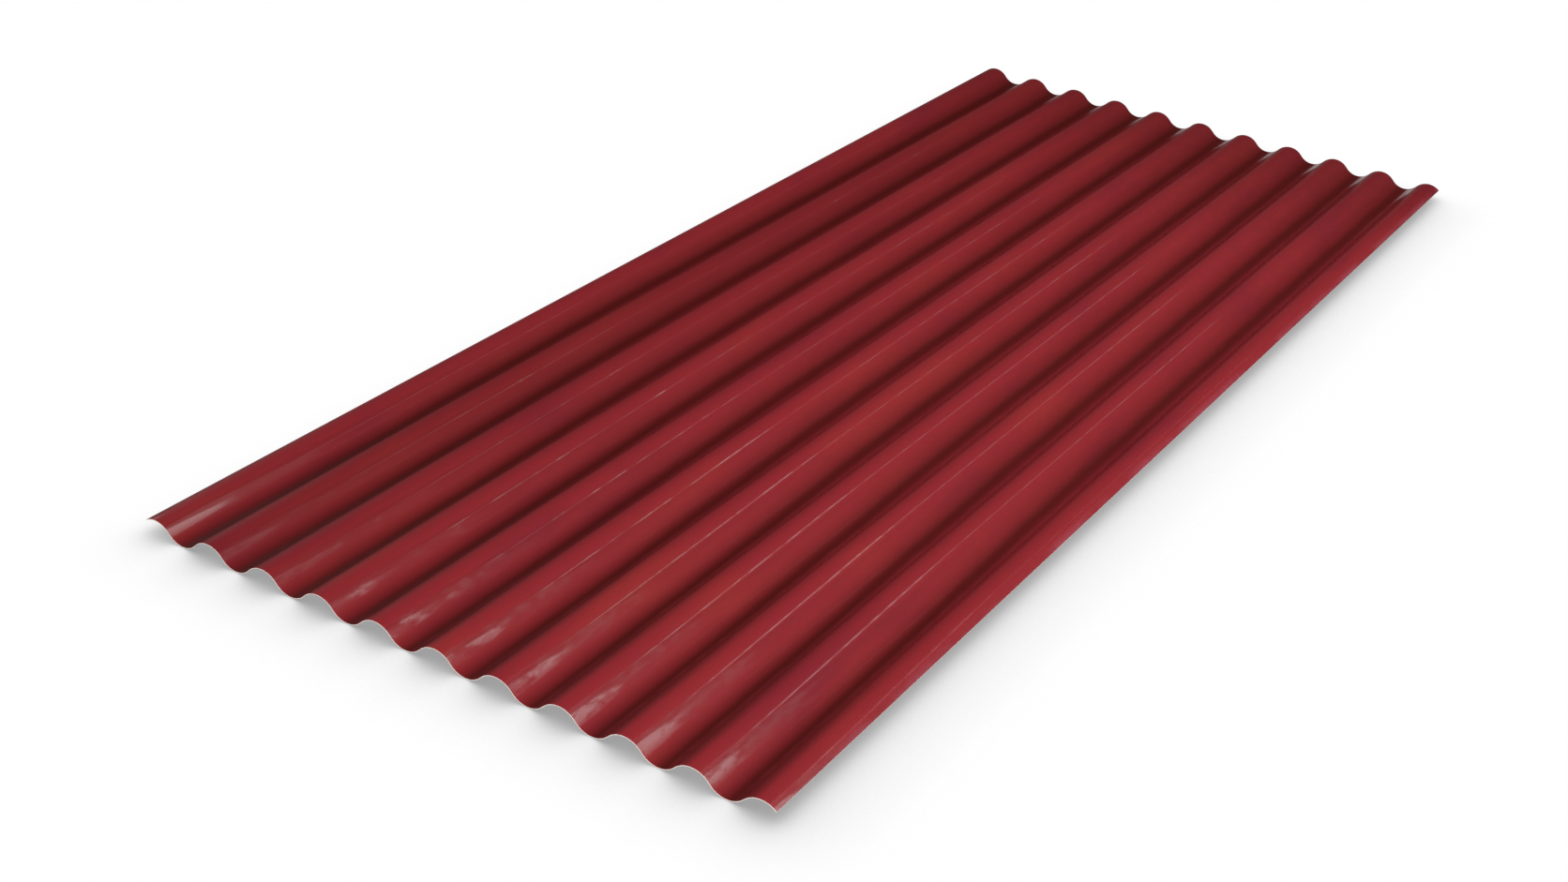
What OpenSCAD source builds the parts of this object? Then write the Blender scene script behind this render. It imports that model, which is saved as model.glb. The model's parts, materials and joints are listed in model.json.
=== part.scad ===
// Corrugated steel roof sheet, rolled from one flat strip.
// Lengths are in millimetres. X runs across the waves, Y along them, Z up.
// The origin is under the middle of the sheet, at the level its troughs rest on.

/* [Corrugation] */
// Distance from one crest to the next
pitch = 76; // [60:1:100]
// Height of a crest above a trough, measured on one face
depth = 17.5; // [12:0.5:22]
// Length of the straight stretch on each flank, between two bends
flank_straight = 4; // [1:0.5:12]
// Number of whole waves from the first crest to the last
waves = 10; // [2:1:14]

/* [Edges] */
// How far the left edge reaches past the middle of the first crest
left_lip = 14; // [4:0.5:16]
// How far the right edge reaches past the middle of the last crest
right_lip = 16; // [4:0.5:16]

/* [Sheet] */
// Length of the sheet along its waves
sheet_length = 1900; // [600:10:6000]
// Thickness of the coated steel
sheet_thickness = 0.8; // [0.35:0.05:1.2]

/* [Hidden] */
half_pitch = pitch / 2;
half_thickness = sheet_thickness / 2;
// Radius of the middle of the sheet in every bend, so that bend, straight and bend fill half a wave
bend_radius = (pow(half_pitch, 2) + pow(depth, 2) - pow(flank_straight, 2)) / (4 * depth);
// Slope of a flank, which is also the turn from the top of a crest to that flank
flank_angle = atan2(half_pitch, 2 * bend_radius - depth) - atan2(flank_straight, 2 * bend_radius);
// Each turn from crest to flank is rolled in this many equal flats
turn_steps = 8;
step_angle = flank_angle / turn_steps;
// Angles at which the two side edges cut off the outer bends
left_cut = -asin(left_lip / bend_radius);
right_cut = asin(right_lip / bend_radius);

// Point at angle a on a bend of radius r, whose flats touch the true arc at their middles
function on_bend(r, a) = r / cos(a - step_angle * round(a / step_angle)) * [sin(a), cos(a)];

// Angles of the corners between the flats that lie between two angles
function corner_angles(from, to) =
    [for (i = [ceil(from / step_angle - 0.5):floor(to / step_angle - 0.5)]) (i + 0.5) * step_angle];

// Crest number i on the face that lies h above the middle of the sheet, from one angle to another
function crest_points(i, h, angles) =
    [for (a = angles) [i * pitch, depth - bend_radius] + on_bend(bend_radius + h, a)];

// Trough that follows crest number i, on the same face
function trough_points(i, h) =
    [for (a = corner_angles(-flank_angle, flank_angle))
        let (p = on_bend(bend_radius - h, a)) [(i + 0.5) * pitch + p[0], bend_radius - p[1]]];

// Whole outline of one face, from the left edge to the right edge
function face_points(h) = concat(
    crest_points(0, h, concat([left_cut], corner_angles(left_cut, flank_angle))),
    [for (i = [1:waves])
        each concat(
            trough_points(i - 1, h),
            crest_points(i, h, i < waves
                ? corner_angles(-flank_angle, flank_angle)
                : concat(corner_angles(-flank_angle, right_cut), [right_cut])))]
);

// The same points from right to left
function reversed(points) = [for (i = [len(points) - 1:-1:0]) points[i]];

// Cross section of the sheet: its painted face out and its underside back
module wave_section() {
    polygon(concat(face_points(half_thickness), reversed(face_points(-half_thickness))));
}

// One rolled sheet, lying on its troughs
module roof_sheet() {
    top = face_points(half_thickness);
    low = face_points(-half_thickness);
    left_x = min(top[0][0], low[0][0]);
    right_x = max(top[len(top) - 1][0], low[len(low) - 1][0]);
    color("#8b242d")
        translate([-(left_x + right_x) / 2, sheet_length / 2, half_thickness])
            rotate([90, 0, 0])
                linear_extrude(height = sheet_length)
                    wave_section();
}

roof_sheet();
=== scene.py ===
import bpy
import json
import math
from mathutils import Euler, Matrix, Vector

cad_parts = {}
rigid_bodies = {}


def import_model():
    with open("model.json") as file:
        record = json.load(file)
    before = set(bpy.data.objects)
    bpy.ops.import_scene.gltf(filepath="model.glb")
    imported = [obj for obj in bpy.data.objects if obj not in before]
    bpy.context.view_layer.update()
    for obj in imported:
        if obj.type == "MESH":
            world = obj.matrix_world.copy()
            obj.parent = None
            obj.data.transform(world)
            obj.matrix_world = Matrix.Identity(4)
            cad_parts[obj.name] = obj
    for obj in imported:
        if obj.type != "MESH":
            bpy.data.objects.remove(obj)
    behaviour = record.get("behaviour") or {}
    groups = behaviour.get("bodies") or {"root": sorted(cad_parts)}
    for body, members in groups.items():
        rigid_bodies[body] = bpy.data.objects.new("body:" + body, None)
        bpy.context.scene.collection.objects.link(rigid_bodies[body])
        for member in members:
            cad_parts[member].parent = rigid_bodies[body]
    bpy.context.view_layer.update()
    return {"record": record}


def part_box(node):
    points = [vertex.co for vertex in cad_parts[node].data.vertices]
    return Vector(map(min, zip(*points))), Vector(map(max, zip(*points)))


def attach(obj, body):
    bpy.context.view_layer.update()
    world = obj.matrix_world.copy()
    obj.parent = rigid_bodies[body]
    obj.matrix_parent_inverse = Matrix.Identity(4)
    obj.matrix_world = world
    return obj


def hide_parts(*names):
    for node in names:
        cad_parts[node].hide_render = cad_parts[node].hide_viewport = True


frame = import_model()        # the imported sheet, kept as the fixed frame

sheetLow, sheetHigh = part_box("roof_sheet")
mounts = {mount["name"]: Vector(mount["pos_m"]) for mount in frame["record"]["mounts"]}
print("frame loaded")


# wraps one shader socket, so that shader maths can be written as plain expressions
class Sock:
    def __init__(self, tree, socket):
        self.tree = tree
        self.socket = socket

    def math(self, operation, first, second=0.0):
        node = self.tree.nodes.new("ShaderNodeMath")
        node.operation = operation
        plug(self.tree, node.inputs[0], first)
        plug(self.tree, node.inputs[1], second)
        return Sock(self.tree, node.outputs[0])

    def __add__(self, other):
        return self.math("ADD", self, other)

    def __radd__(self, other):
        return self.math("ADD", other, self)

    def __sub__(self, other):
        return self.math("SUBTRACT", self, other)

    def __rsub__(self, other):
        return self.math("SUBTRACT", other, self)

    def __mul__(self, other):
        return self.math("MULTIPLY", self, other)

    def __rmul__(self, other):
        return self.math("MULTIPLY", other, self)

    def __truediv__(self, other):
        return self.math("DIVIDE", self, other)

    def __pow__(self, other):
        return self.math("POWER", self, other)

    def fraction(self):
        return self.math("FRACT", self)

    def orMore(self, other):
        return self.math("MAXIMUM", self, other)


def plug(tree, slot, value):
    if isinstance(value, Sock):
        tree.links.new(value.socket, slot)
    else:
        slot.default_value = value


class Paint:
    def __init__(self, tree):
        self.tree = tree
        tree.nodes.clear()

    def node(self, kind, settings=None, sockets=None, output=0):
        # settings are set first, then sockets by name or by place; gives back one output
        made = self.tree.nodes.new("ShaderNode" + kind)
        for name, value in (settings or {}).items():
            if name == "stops":
                self.fillRamp(made.color_ramp, value)
            else:
                setattr(made, name, value)
        for name, value in (sockets or {}).items():
            plug(self.tree, made.inputs[name], value)
        if len(made.outputs) == 0:
            return None
        return Sock(self.tree, made.outputs[output])

    def fillRamp(self, ramp, stops):
        while len(ramp.elements) < len(stops):
            ramp.elements.new(0.5)
        for element, (place, level) in zip(ramp.elements, stops):
            element.position = place
            element.color = (level, level, level, 1.0)

    def ramp(self, value, stops):
        # levels along stops that run from 0 to 1
        return self.node("ValToRGB", {"stops": stops}, {0: value})

    def blend(self, factor, first, second):
        return self.node("Mix", {"data_type": "RGBA"}, {0: factor, 6: first, 7: second}, output=2)

    def rise(self, value, low, high):
        # smooth step from 0 at low to 1 at high
        return self.node("MapRange", {"interpolation_type": "SMOOTHSTEP"}, {0: value, 1: low, 2: high})

    def objectPlace(self):
        return self.node("TexCoord", output="Object")

    def cloud(self, scale, detail, roughness=0.5):
        # noise about 0.5 on the object's own coordinates, with a scale for each direction
        place = self.node("Mapping", None, {"Vector": self.objectPlace(), "Scale": scale})
        return self.node("TexNoise", None, {
            "Vector": place, "Scale": 1.0, "Detail": detail, "Roughness": roughness})

    def bump(self, height):
        # height is in metres
        return self.node("Bump", None, {"Height": height, "Strength": 1.0, "Distance": 1.0})

    def finish(self, sockets):
        shader = self.node("BsdfPrincipled", None, sockets)
        self.node("OutputMaterial", None, {"Surface": shader})


def newMaterial(name):
    material = bpy.data.materials.new(name)
    material.use_nodes = True
    return material, Paint(material.node_tree)


def deselectAll():
    for item in bpy.context.view_layer.objects:
        item.select_set(False)


def namePiece(name):
    piece = bpy.context.object
    piece.name = name
    piece.data.name = name
    return piece


def pick(piece, test):
    # selects the vertices that pass the test, and stays in edit mode
    bpy.ops.object.mode_set(mode="OBJECT")
    for part in (piece.data.polygons, piece.data.edges):
        part.foreach_set("select", [False] * len(part))
    for vertex in piece.data.vertices:
        vertex.select = test(vertex.co)
    bpy.ops.object.mode_set(mode="EDIT")


def applyModifier(piece, kind, **settings):
    bpy.ops.object.modifier_add(type=kind)
    modifier = piece.modifiers[-1]
    for name, value in settings.items():
        setattr(modifier, name, value)
    bpy.ops.object.modifier_apply(modifier=modifier.name)


rolledSheet = {
    "flankStraight": 0.004,   # straight stretch between two bends
    "bendFaces": 9,           # faces from the top of a crest to its flank
    "lengthCuts": 36,         # cuts across the length
    "lipFaces": 6,            # faces of each turned-down lip
    "edgeRound": 0.00015,     # rounding of the sheared edges
    "edgeSteps": 2,           # faces over that rounding
    "edgeAngle": 60,          # degrees; an edge sharper than this is rounded
    "backingPlace": 1,        # places of the backing coat and the cut steel in the list of finishes
    "steelPlace": 2,
    "weld": 0.00001,          # points nearer than this are one
}


def measureWaves(settings):
    # pitch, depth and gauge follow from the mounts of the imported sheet
    crest = mounts["crest_top"]
    trough = mounts["trough_rest"]
    straight = settings["flankStraight"]
    waves = {
        "pitch": 2 * (trough.x - crest.x),
        "depth": mounts["right_lap"].z - trough.z,
        "gauge": crest.z - mounts["right_lap"].z,
        "firstX": mounts["left_lap"].x,
        "lastX": mounts["right_lap"].x,
    }
    half = waves["pitch"] / 2
    depth = waves["depth"]
    radius = (half ** 2 + depth ** 2 - straight ** 2) / (4 * depth)
    waves["radius"] = radius
    waves["turn"] = math.atan2(half, 2 * radius - depth) - math.atan2(straight, 2 * radius)
    waves["count"] = round((waves["lastX"] - waves["firstX"]) / waves["pitch"])
    waves["middleZ"] = waves["gauge"] / 2
    waves["crestCentreZ"] = waves["middleZ"] + depth - radius
    return waves


def rollWave(waves, settings):
    pitch = waves["pitch"]
    turn = waves["turn"]
    firstX = waves["firstX"]
    faces = settings["bendFaces"]
    length = sheetHigh.y - sheetLow.y

    # one line along the first crest, cut along its length
    deselectAll()
    crestZ = waves["crestCentreZ"] + waves["radius"]
    bpy.ops.mesh.primitive_plane_add(size=length, location=(firstX + length / 2, 0, crestZ))
    piece = namePiece("corrugatedSheet")
    bpy.ops.object.transform_apply(location=True, rotation=True, scale=True)
    pick(piece, lambda co: co.x > firstX + settings["weld"])
    bpy.ops.mesh.delete(type="VERT")
    bpy.ops.mesh.select_all(action="SELECT")
    bpy.ops.mesh.subdivide(number_cuts=settings["lengthCuts"])

    # half a wave down and half a wave up, each bend joined to the next by a straight flank
    crestCentre = Vector((firstX, 0, waves["crestCentreZ"]))
    troughCentre = Vector((firstX + pitch / 2, 0, waves["middleZ"] + waves["radius"]))
    nextCentre = crestCentre + Vector((pitch, 0, 0))
    downFlank = Vector((math.cos(turn), 0, -math.sin(turn))) * settings["flankStraight"]
    upFlank = Vector((math.cos(turn), 0, math.sin(turn))) * settings["flankStraight"]
    bpy.ops.mesh.spin(steps=faces, angle=-turn, center=crestCentre, axis=(0, 1, 0))
    bpy.ops.mesh.extrude_region_move(TRANSFORM_OT_translate={"value": downFlank})
    bpy.ops.mesh.spin(steps=2 * faces, angle=2 * turn, center=troughCentre, axis=(0, 1, 0))
    bpy.ops.mesh.extrude_region_move(TRANSFORM_OT_translate={"value": upFlank})
    bpy.ops.mesh.spin(steps=faces, angle=-turn, center=nextCentre, axis=(0, 1, 0))
    bpy.ops.mesh.select_all(action="SELECT")
    bpy.ops.mesh.remove_doubles(threshold=settings["weld"])
    bpy.ops.object.mode_set(mode="OBJECT")
    print("one wave rolled,", len(piece.data.polygons), "faces")
    return piece


def turnLip(piece, edgeX, turn, waves, settings):
    pick(piece, lambda co: abs(co.x - edgeX) < settings["weld"])
    centre = (edgeX, 0, waves["crestCentreZ"])
    bpy.ops.mesh.spin(steps=settings["lipFaces"], angle=turn, center=centre, axis=(0, 1, 0))


def finishSheet(piece, waves, settings):
    # all waves in a row, welded where they meet, with a lip turned down along each side
    applyModifier(piece, "ARRAY", count=waves["count"], use_relative_offset=False,
                  use_constant_offset=True, constant_offset_displace=(waves["pitch"], 0, 0),
                  use_merge_vertices=True, merge_threshold=2 * settings["weld"])
    outerRadius = waves["radius"] + waves["gauge"] / 2
    leftTurn = math.asin((waves["firstX"] - sheetLow.x) / outerRadius)
    rightTurn = math.asin((sheetHigh.x - waves["lastX"]) / outerRadius)
    turnLip(piece, waves["firstX"], leftTurn, waves, settings)
    turnLip(piece, waves["lastX"], -rightTurn, waves, settings)
    bpy.ops.mesh.select_all(action="SELECT")
    bpy.ops.mesh.remove_doubles(threshold=settings["weld"])
    bpy.ops.mesh.normals_make_consistent(inside=False)
    bpy.ops.object.mode_set(mode="OBJECT")
    if sum(face.normal.z for face in piece.data.polygons) < 0:
        bpy.ops.object.mode_set(mode="EDIT")
        bpy.ops.mesh.flip_normals()
        bpy.ops.object.mode_set(mode="OBJECT")

    # the gauge, with the backing coat underneath and bare steel round the cut edges
    bpy.ops.object.shade_smooth()
    betweenFaces = waves["turn"] / settings["bendFaces"]
    applyModifier(piece, "SOLIDIFY", thickness=waves["gauge"] * math.cos(betweenFaces / 2), offset=0,
                  use_even_offset=True, use_quality_normals=True,
                  material_offset=settings["backingPlace"], material_offset_rim=settings["steelPlace"])
    applyModifier(piece, "BEVEL", width=settings["edgeRound"], segments=settings["edgeSteps"],
                  limit_method="ANGLE", angle_limit=math.radians(settings["edgeAngle"]),
                  harden_normals=True, use_clamp_overlap=False, material=settings["steelPlace"])
    print("sheet finished,", len(piece.data.polygons), "faces")


def overWave(across, waves, shift):
    # how far a place lies over its wave: 0 and 1 at a crest, 0.5 at the bottom of a trough
    return ((across - waves["firstX"]) / waves["pitch"] + shift).fraction()


# an "along" pair gives where a thing starts and where it is full, in metres from the middle of the
# sheet, with the near end on the negative side
stainsAndPaintedLight = {
    "wander": {"scale": (14, 7, 14), "detail": 3},      # broad noise that moves the edges of the painted shade, painted light and stains
    "wanderReach": 0.05,            # how far it moves them, in waves
    "smoke": {"scale": (90, 34, 90), "detail": 4, "roughness": 0.6},    # finer noise that frays them
    "smokeReach": 0.035,
    # painted shade over one wave, deepest in the troughs
    "paintedShade": (0.078, 0.0066, 0.0058, 1),
    "paintedShadeCover": 0.95,             # how much of the red the deepest painted shade hides
    "paintedShadeStops": [(0.00, 0.00), (0.14, 0.04), (0.22, 0.18), (0.28, 0.35), (0.35, 0.58), (0.39, 0.75),
                   (0.43, 0.92), (0.475, 1.00), (0.51, 0.96), (0.55, 0.84), (0.59, 0.62), (0.63, 0.33),
                   (0.68, 0.10), (0.74, 0.00)],
    "leanFar": -0.001,              # how far the painted shade lies to the right of the trough
    "leanNear": 0.0085,
    "leanFrom": -0.2,               # where along the sheet the lean starts
    # thinner painted shade on the left flank, only at the near end
    "nearStops": [(0.55, 0.00), (0.64, 0.48), (0.84, 0.54), (0.95, 0.00)],
    "nearFrom": -0.6,
    # and painted shade on the right flank, as far as the middle
    "flankStops": [(0.13, 0.00), (0.17, 0.22), (0.30, 0.14), (0.37, 0.00)],
    "flankAlong": (0.1, -0.7),
    # thin painted shade, from the first wave to the last and all over towards the far end
    "falloffShadeStops": [(0.00, 0.06), (0.10, 0.30), (0.20, 0.16), (0.30, 0.06), (0.50, 0.00), (0.85, 0.02),
                  (1.00, 0.10)],
    "falloffShadeFray": 0.03,               # how far smoke moves the edges of this painted shade, in widths of the sheet
    "farShade": 0.34,
    "farShadeAlong": (0.45, 1.0),
    "farShadeFray": 0.2,             # in metres, like the next one
    # painted reflection, pale at the far end, up the right side of each trough
    "farReflection": (0.55, 0.40, 0.40, 1),
    "farReflectionStops": [(0.57, 0.00), (0.62, 0.55), (0.68, 0.40), (0.75, 0.10), (0.80, 0.00)],
    "farReflectionAlong": (0.885, 0.94),
    "farReflectionFray": 0.05,
    # painted highlight, a pale band along the right lip, broken into patches
    "lipHighlight": (0.290, 0.046, 0.062, 1),
    "lipHighlightWidth": 0.009,
    "highlightBreak": {"scale": (30, 12, 30), "detail": 4},
    "highlightBreakRange": (0.38, 0.62),
    "lipHighlightLeast": 0.15,             # painted highlight that is left where the band is thinnest
    # a few pale specks
    "speck": (0.62, 0.44, 0.40, 1),
    "speckSpacing": 0.11,
    "speckSize": 0.0011,
    "speckChance": (0.90, 0.93),    # only cells that draw more than this have one
}


def findPlaces(paint, waves, settings):
    # where on the sheet a place is, with the noise that the painted shade, painted light, stains and
    # gloss share
    across = paint.node("SeparateXYZ", None, {0: paint.objectPlace()}, output="X")
    along = paint.node("SeparateXYZ", None, {0: paint.objectPlace()}, output="Y")
    wander = paint.cloud(**settings["wander"]) - 0.5
    smoke = paint.cloud(**settings["smoke"]) - 0.5
    unrest = wander * settings["wanderReach"] + smoke * settings["smokeReach"]
    upright = overWave(across, waves, unrest)
    return {"across": across, "along": along, "smoke": smoke, "unrest": unrest, "upright": upright}


def paintedShadeLevel(paint, places, waves, settings):
    # painted shade in the troughs, leaning to one side at the near end, with more on the flanks towards
    # the near end
    along = places["along"]
    leanGain = settings["leanNear"] - settings["leanFar"]
    lean = settings["leanFar"] + leanGain * paint.rise(along, settings["leanFrom"], sheetLow.y)
    leaning = overWave(places["across"] - lean, waves, places["unrest"])
    nearPaintedShade = paint.ramp(places["upright"], settings["nearStops"])
    nearPaintedShade = nearPaintedShade * paint.rise(along, settings["nearFrom"], sheetLow.y)
    flankPaintedShade = paint.ramp(places["upright"], settings["flankStops"])
    flankPaintedShade = flankPaintedShade * paint.rise(along, *settings["flankAlong"])
    return paint.ramp(leaning, settings["paintedShadeStops"]).orMore(nearPaintedShade).orMore(flankPaintedShade)


# painted shade, painted highlight and painted reflection over the red, then a few pale specks
def paintedLightAndStains(paint, colour, places, waves, settings):
    across = places["across"]
    along = places["along"]
    smoke = places["smoke"]

    # painted shade over the waves and towards the far end
    wavesWide = waves["lastX"] - waves["firstX"]
    overAll = (across - waves["firstX"]) / wavesWide + smoke * settings["falloffShadeFray"]
    farShade = paint.rise(along + smoke * settings["farShadeFray"], *settings["farShadeAlong"])
    falloffShade = paint.ramp(overAll, settings["falloffShadeStops"]).orMore(farShade * settings["farShade"])
    colour = paint.blend(falloffShade, colour, settings["paintedShade"])

    # painted highlight along the lip, then the painted shade over both
    onBand = paint.rise(across, sheetHigh.x - settings["lipHighlightWidth"], sheetHigh.x)
    highlightPatches = paint.rise(paint.cloud(**settings["highlightBreak"]), *settings["highlightBreakRange"])
    least = settings["lipHighlightLeast"]
    colour = paint.blend(onBand * (least + (1 - least) * highlightPatches), colour, settings["lipHighlight"])
    paintedShade = paintedShadeLevel(paint, places, waves, settings)
    colour = paint.blend(paintedShade * settings["paintedShadeCover"], colour, settings["paintedShade"])

    # painted reflection and specks lie on top
    reflected = paint.ramp(places["upright"], settings["farReflectionStops"])
    reflected = reflected * paint.rise(along + smoke * settings["farReflectionFray"], *settings["farReflectionAlong"])
    colour = paint.blend(reflected, colour, settings["farReflection"])
    cells = {"Vector": paint.objectPlace(), "Scale": 1 / settings["speckSpacing"]}
    fromSpeck = paint.node("TexVoronoi", None, cells, output="Distance") * settings["speckSpacing"]
    cellColour = paint.node("TexVoronoi", None, cells, output="Color")
    chosen = paint.rise(paint.node("SeparateColor", None, {0: cellColour}), *settings["speckChance"])
    speck = chosen * paint.rise(fromSpeck, settings["speckSize"], 0.0)
    return paint.blend(speck, colour, settings["speck"])


topCoat = {
    "roughness": 0.06,
    "ior": 1.5,
    # dulled in smudges, more to the left, and in small flecks
    "smudge": {"scale": (60, 26, 60), "detail": 5, "roughness": 0.62},
    "smudgeRange": (0.40, 0.58),
    "glossToRight": 0.55,           # how much the smudges give way for each metre to the right
    "smudgeLeast": 0.2,             # gloss left in the dullest smudge, like the one for flecks
    "fleck": {"scale": (170, 50, 170), "detail": 4},
    "fleckRange": (0.38, 0.60),
    "fleckLeast": 0.4,
    # worn off over one wave: in the troughs, and from high on the left flanks over the crests
    "dullStops": [(0.00, 0.80), (0.08, 0.00), (0.24, 0.00), (0.33, 1.00), (0.56, 1.00), (0.60, 0.00),
                  (0.69, 0.00), (0.735, 0.55), (0.78, 0.94), (0.88, 0.96), (1.00, 0.88)],
    "dullFray": 0.03,               # how far smoke moves the worn edges, in waves
    "dullCover": 0.95,
    # worn on the right lip, away from the near end
    "lipWear": 0.7,
    "lipBlend": 0.004,
    "lipAlong": (-0.89, -0.82),
    # glossy patch at the near left corner, across and along, and how soft its edges are
    "keptPatch": (0.045, 0.095),
    "keptBlend": (0.004, 0.01),
    "keptFray": 0.02,               # in metres
    # the gloss goes on more weakly along the first wave
    "tailLength": 0.25,
    "tailBlend": 0.06,
    "tailGloss": 0.6,
}


def glossLevel(paint, places, smudge, waves, settings):
    across = places["across"]
    along = places["along"]
    smoke = places["smoke"]

    # smudges and flecks, and the wear over each wave
    clear = paint.rise(smudge + across * settings["glossToRight"], *settings["smudgeRange"])
    flecked = paint.rise(paint.cloud(**settings["fleck"]), *settings["fleckRange"])
    bare = paint.ramp(overWave(across, waves, smoke * settings["dullFray"]), settings["dullStops"])
    least = settings["smudgeLeast"]
    gloss = least + (1 - least) * clear
    least = settings["fleckLeast"]
    gloss = gloss * (least + (1 - least) * flecked) * (1 - settings["dullCover"] * bare)

    # the right lip
    onLip = paint.rise(across, waves["lastX"], waves["lastX"] + settings["lipBlend"])
    gloss = gloss * (1 - settings["lipWear"] * onLip * paint.rise(along, *settings["lipAlong"]))

    # the glossy corner and its tail
    patchX = sheetLow.x + settings["keptPatch"][0]
    patchY = sheetLow.y + settings["keptPatch"][1]
    blendX, blendY = settings["keptBlend"]
    tailY = sheetLow.y + settings["tailLength"]
    kept = paint.rise(across, patchX + blendX, patchX)
    tail = paint.rise(along, tailY, tailY - settings["tailBlend"])
    patch = paint.rise(along + smoke * settings["keptFray"], patchY + blendY, patchY)
    kept = kept * (settings["tailGloss"] * tail).orMore(patch)
    return gloss.orMore(kept * (1 - bare))


redPaint = {
    "clean": (0.266, 0.0202, 0.0262, 1),
    "warm": (0.288, 0.0242, 0.0260, 1),
    "cool": (0.233, 0.0172, 0.0268, 1),
    "drift": {"scale": (14, 3.5, 14), "detail": 3},     # broad clouds of warmer and cooler red
    "warmRange": (0.52, 0.72),
    "coolRange": (0.48, 0.30),
    "roughness": 0.5,
    "roughnessSpread": 0.2,         # between the clearest and the dullest smudge
    "specular": 0.05,
    # relief in metres: the panel's waviness, fine lines from the rollers, and a slight peel
    "waviness": {"scale": (30, 9, 10), "detail": 2},
    "wavinessHeight": 0.00002,
    "streaks": {"scale": (420, 5, 60), "detail": 2},
    "streakHeight": 0.000001,
    "peel": {"scale": (500, 500, 500), "detail": 1},
    "peelHeight": 0.000001,
}


def paintRed(waves, settings):
    material, paint = newMaterial("paintedRed")
    drift = paint.cloud(**settings["drift"])
    colour = paint.blend(paint.rise(drift, *settings["warmRange"]), settings["clean"], settings["warm"])
    colour = paint.blend(paint.rise(drift, *settings["coolRange"]), colour, settings["cool"])
    places = findPlaces(paint, waves, stainsAndPaintedLight)
    colour = paintedLightAndStains(paint, colour, places, waves, stainsAndPaintedLight)

    height = paint.cloud(**settings["waviness"]) * settings["wavinessHeight"]
    height = height + paint.cloud(**settings["streaks"]) * settings["streakHeight"]
    height = height + paint.cloud(**settings["peel"]) * settings["peelHeight"]

    smudge = paint.cloud(**topCoat["smudge"])
    paint.finish({
        "Base Color": colour,
        "Roughness": settings["roughness"] + (smudge - 0.5) * settings["roughnessSpread"],
        "Normal": paint.bump(height),
        "Coat Weight": glossLevel(paint, places, smudge, waves, topCoat),
        "Coat Roughness": topCoat["roughness"],
        "Coat IOR": topCoat["ior"],
        "Specular IOR Level": settings["specular"],
    })
    return material


greyBacking = {
    "colour": (0.50, 0.51, 0.50, 1),
    "dull": (0.40, 0.41, 0.40, 1),
    "streaks": {"scale": (60, 3, 20), "detail": 4},
    "streakHeight": 0.00002,
    "smudge": {"scale": (9, 9, 9), "detail": 3},
    "dullRange": (0.4, 0.65),
    "roughness": 0.45,
    "roughnessSpread": 0.2,
}


def paintBacking(settings):
    material, paint = newMaterial("greyBacking")
    streaks = paint.cloud(**settings["streaks"])
    smudge = paint.cloud(**settings["smudge"])
    mottle = paint.rise((streaks + smudge) * 0.5, *settings["dullRange"])
    paint.finish({
        "Base Color": paint.blend(mottle, settings["colour"], settings["dull"]),
        "Roughness": settings["roughness"] + smudge * settings["roughnessSpread"],
        "Normal": paint.bump(streaks * settings["streakHeight"]),
    })
    return material


cutSteel = {
    "bright": (0.80, 0.68, 0.62, 1),
    "stained": (0.58, 0.42, 0.37, 1),
    "mottle": {"scale": (220, 160, 400), "detail": 4},
    "mottleHeight": 0.00003,
    "stainRange": (0.55, 0.78),
    "metallic": 0.15,
    "roughness": 0.4,
    "roughnessSpread": 0.2,
}


def paintCutSteel(settings):
    material, paint = newMaterial("cutSteel")
    mottle = paint.cloud(**settings["mottle"])
    stained = paint.rise(mottle, *settings["stainRange"])
    paint.finish({
        "Base Color": paint.blend(stained, settings["bright"], settings["stained"]),
        "Metallic": settings["metallic"],
        "Roughness": settings["roughness"] + mottle * settings["roughnessSpread"],
        "Normal": paint.bump(mottle * settings["mottleHeight"]),
    })
    return material


waveInfo = measureWaves(rolledSheet)
sheet = rollWave(waveInfo, rolledSheet)
# the finishes come first, because the thickening gives each face its finish by place in this list
for finish in (paintRed(waveInfo, redPaint), paintBacking(greyBacking), paintCutSteel(cutSteel)):
    sheet.data.materials.append(finish)
finishSheet(sheet, waveInfo, rolledSheet)
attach(sheet, "root")
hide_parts("roof_sheet")
print("sheet painted")


studio = {
    "floorSide": 14.0,
    "floorColour": (0.80, 0.80, 0.80, 1),
    "shadowReach": 0.12,     # how far from the sheet its soft shadow spreads
    "shadowLean": (-0.45, 0.60, 0.66),    # points away from the side that this shadow falls on
    "shadowFloor": 0.31,     # brightness left in the deepest shadow
    "shadowPower": 1.7,      # how quickly it fades out
    "shadowSamples": 16,
    "floorGloss": 0.50,      # brightness of the floor in the paint's reflections
    "fill": 0.22,            # even light from all round
    "skyGloss": 0.03,        # brightness of the room in the paint's reflections
}


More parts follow.
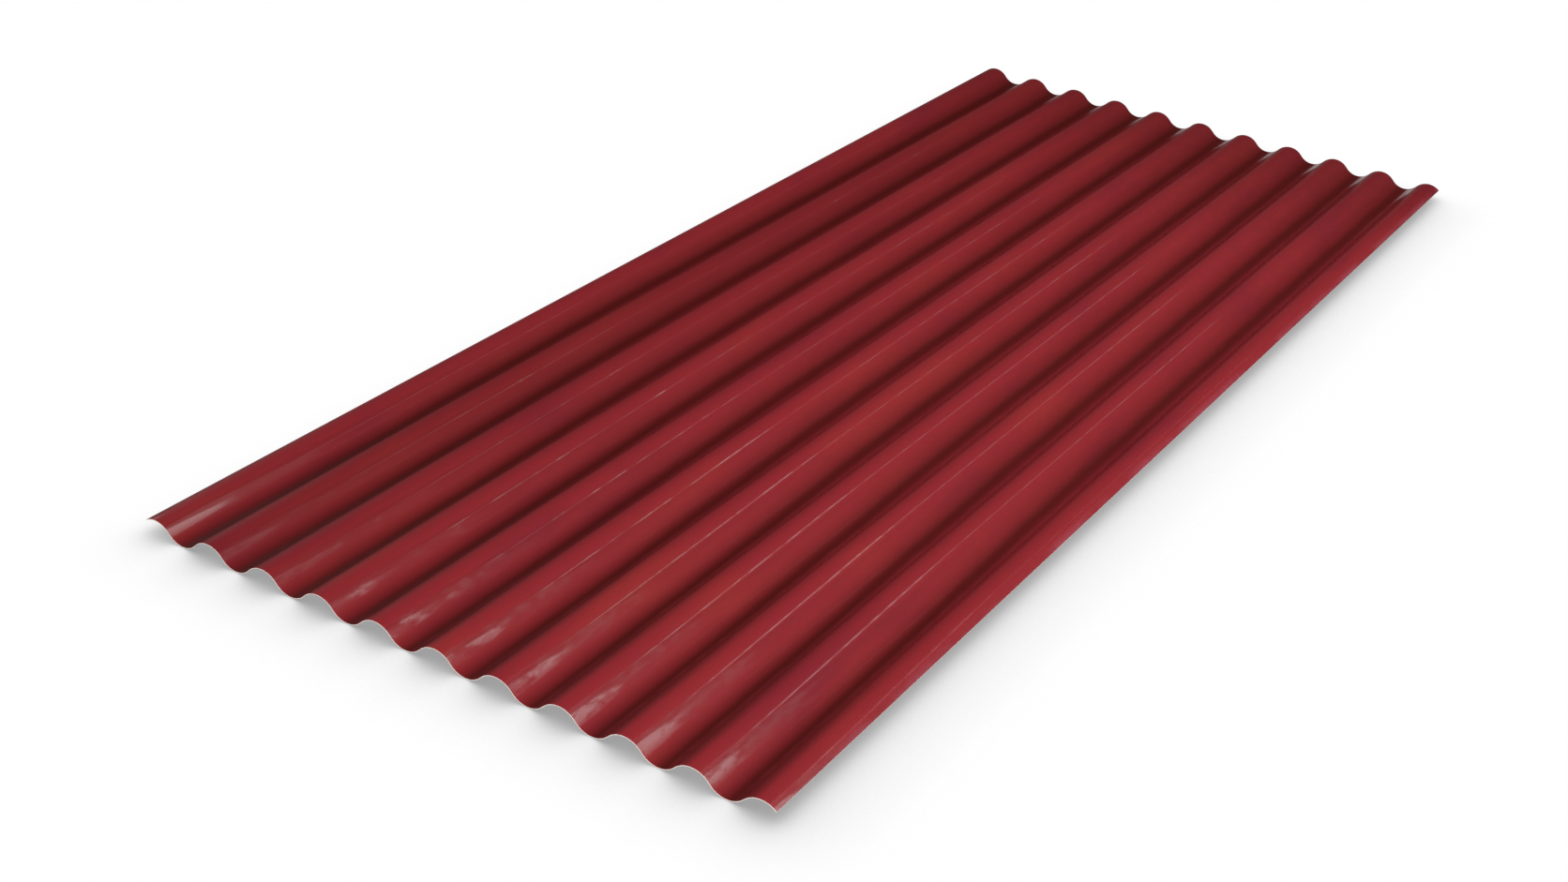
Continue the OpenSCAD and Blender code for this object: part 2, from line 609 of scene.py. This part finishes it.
def layFloor(settings):
    # to the camera and in reflections the floor glows, with a painted soft shadow that darkens it by
    # how near the sheet is
    deselectAll()
    bpy.ops.mesh.primitive_plane_add(size=settings["floorSide"], location=(0, 0, 0))
    floor = namePiece("floor")
    material, paint = newMaterial("floorPaint")
    camera = paint.node("LightPath", output="Is Camera Ray")
    glossy = paint.node("LightPath", output="Is Glossy Ray")
    through = paint.node("LightPath", output="Is Transmission Ray")
    leaning = paint.node("CombineXYZ", None, dict(enumerate(settings["shadowLean"])))
    reach = {"Distance": settings["shadowReach"], "Normal": leaning}
    samples = {"samples": settings["shadowSamples"]}
    clearance = paint.node("AmbientOcclusion", samples, reach, output="AO")
    deepest = settings["shadowFloor"]
    shade = deepest + (1 - deepest) * clearance ** settings["shadowPower"]
    level = camera + through + glossy * settings["floorGloss"]
    seen = camera.orMore(glossy).orMore(through)
    white = paint.node("Emission", None, {"Color": shade * level})
    matt = paint.node("BsdfDiffuse", None, {"Color": settings["floorColour"]})
    surface = paint.node("MixShader", None, {0: seen, 1: matt, 2: white})
    under = paint.node("NewGeometry", output="Backfacing")
    clear = paint.node("BsdfTransparent")
    surface = paint.node("MixShader", None, {0: under, 1: surface, 2: clear})
    paint.node("OutputMaterial", None, {"Surface": surface})
    floor.data.materials.append(material)


def lightWorld(settings):
    world = bpy.data.worlds.new("studio")
    world.use_nodes = True
    bpy.context.scene.world = world
    paint = Paint(world.node_tree)
    camera = paint.node("LightPath", output="Is Camera Ray")
    glossy = paint.node("LightPath", output="Is Glossy Ray")
    level = camera + (1 - camera) * (glossy * settings["skyGloss"] + (1 - glossy) * settings["fill"])
    back = paint.node("Background", None, {"Color": level})
    paint.node("OutputWorld", None, {"Surface": back})


# radiance is what a mirror would show of the lit face
# a lamp has either a place that it is aimed at, or a turn in degrees and then faces straight down
softboxes = {
    "keySoftbox": {
        "place": (1.7, -1.0, 1.5), "aim": (0, -0.5, 0), "size": (1.6, 1.4), "radiance": 3.7},
    "middleSoftbox": {
        "place": (1.9, 0.1, 1.8), "aim": (0, 0.1, 0), "size": (1.6, 1.4), "radiance": 3.9},
    "leftSoftbox": {
        "place": (-2.1, 0.0, 0.9), "aim": (0, 0.2, 0), "size": (0.8, 1.0), "radiance": 5.0},
    "frontSoftbox": {
        "place": (0.2, -2.6, 0.25), "aim": (0, -0.95, 0), "size": (1.8, 0.4), "radiance": 8.5},
    "horizonGlow": {
        "place": (-1.9, 4.0, 0.35), "aim": (0, 0.5, 0), "size": (2.6, 0.7), "radiance": 0.25},
    "flankSoftbox": {
        "place": (2.12, 1.29, 2.0), "turn": 34, "size": (4.35, 0.5), "radiance": 3.1},
    "flankGlow": {
        "place": (1.89, 1.63, 2.0), "turn": 34, "size": (4.35, 0.3), "radiance": 0.5},
    "ridgeLightNear": {
        "place": (0.45, 1.48, 2.0), "turn": -47, "size": (1.05, 0.22), "radiance": 2.1},
    "ridgeLightFar": {
        "place": (0.10, 2.75, 2.0), "turn": 90, "size": (1.8, 0.2), "radiance": 0.8},
}


def addSoftbox(name, settings):
    place = Vector(settings["place"])
    if "aim" in settings:
        rotation = (Vector(settings["aim"]) - place).to_track_quat("-Z", "Y").to_euler()
    else:
        rotation = Euler((0, 0, math.radians(settings["turn"])))
    deselectAll()
    bpy.ops.object.light_add(type="AREA", location=place, rotation=rotation)
    lamp = bpy.context.object
    lamp.name = name
    lamp.data.shape = "RECTANGLE"
    lamp.data.size, lamp.data.size_y = settings["size"]
    lamp.data.energy = settings["radiance"] * math.pi * lamp.data.size * lamp.data.size_y
    lamp.visible_camera = False


layFloor(studio)
lightWorld(studio)
for lampName, lampSettings in softboxes.items():
    addSoftbox(lampName, lampSettings)
print("studio lit")


cameraSettings = {
    "lens": 49.9,            # millimetres
    "place": (1.1541, -2.2801, 1.2411),
    "turn": 30.428,          # degrees to the left of straight along the waves
    "down": 29.062,          # degrees below level
    "tilt": 4.444,           # degrees about its own axis
    "clipStart": 0.01,
}


def setCamera(settings):
    bpy.ops.object.camera_add(location=settings["place"])
    camera = bpy.context.object
    camera.data.lens = settings["lens"]
    camera.data.clip_start = settings["clipStart"]
    aim = Euler((0, 0, math.radians(settings["turn"]))).to_matrix()
    aim @= Euler((math.radians(90 - settings["down"]), 0, 0)).to_matrix()
    aim @= Euler((0, 0, math.radians(settings["tilt"]))).to_matrix()
    camera.rotation_euler = aim.to_euler()
    bpy.context.scene.camera = camera


setCamera(cameraSettings)
bpy.context.scene.view_settings.view_transform = "Standard"
print("camera set")
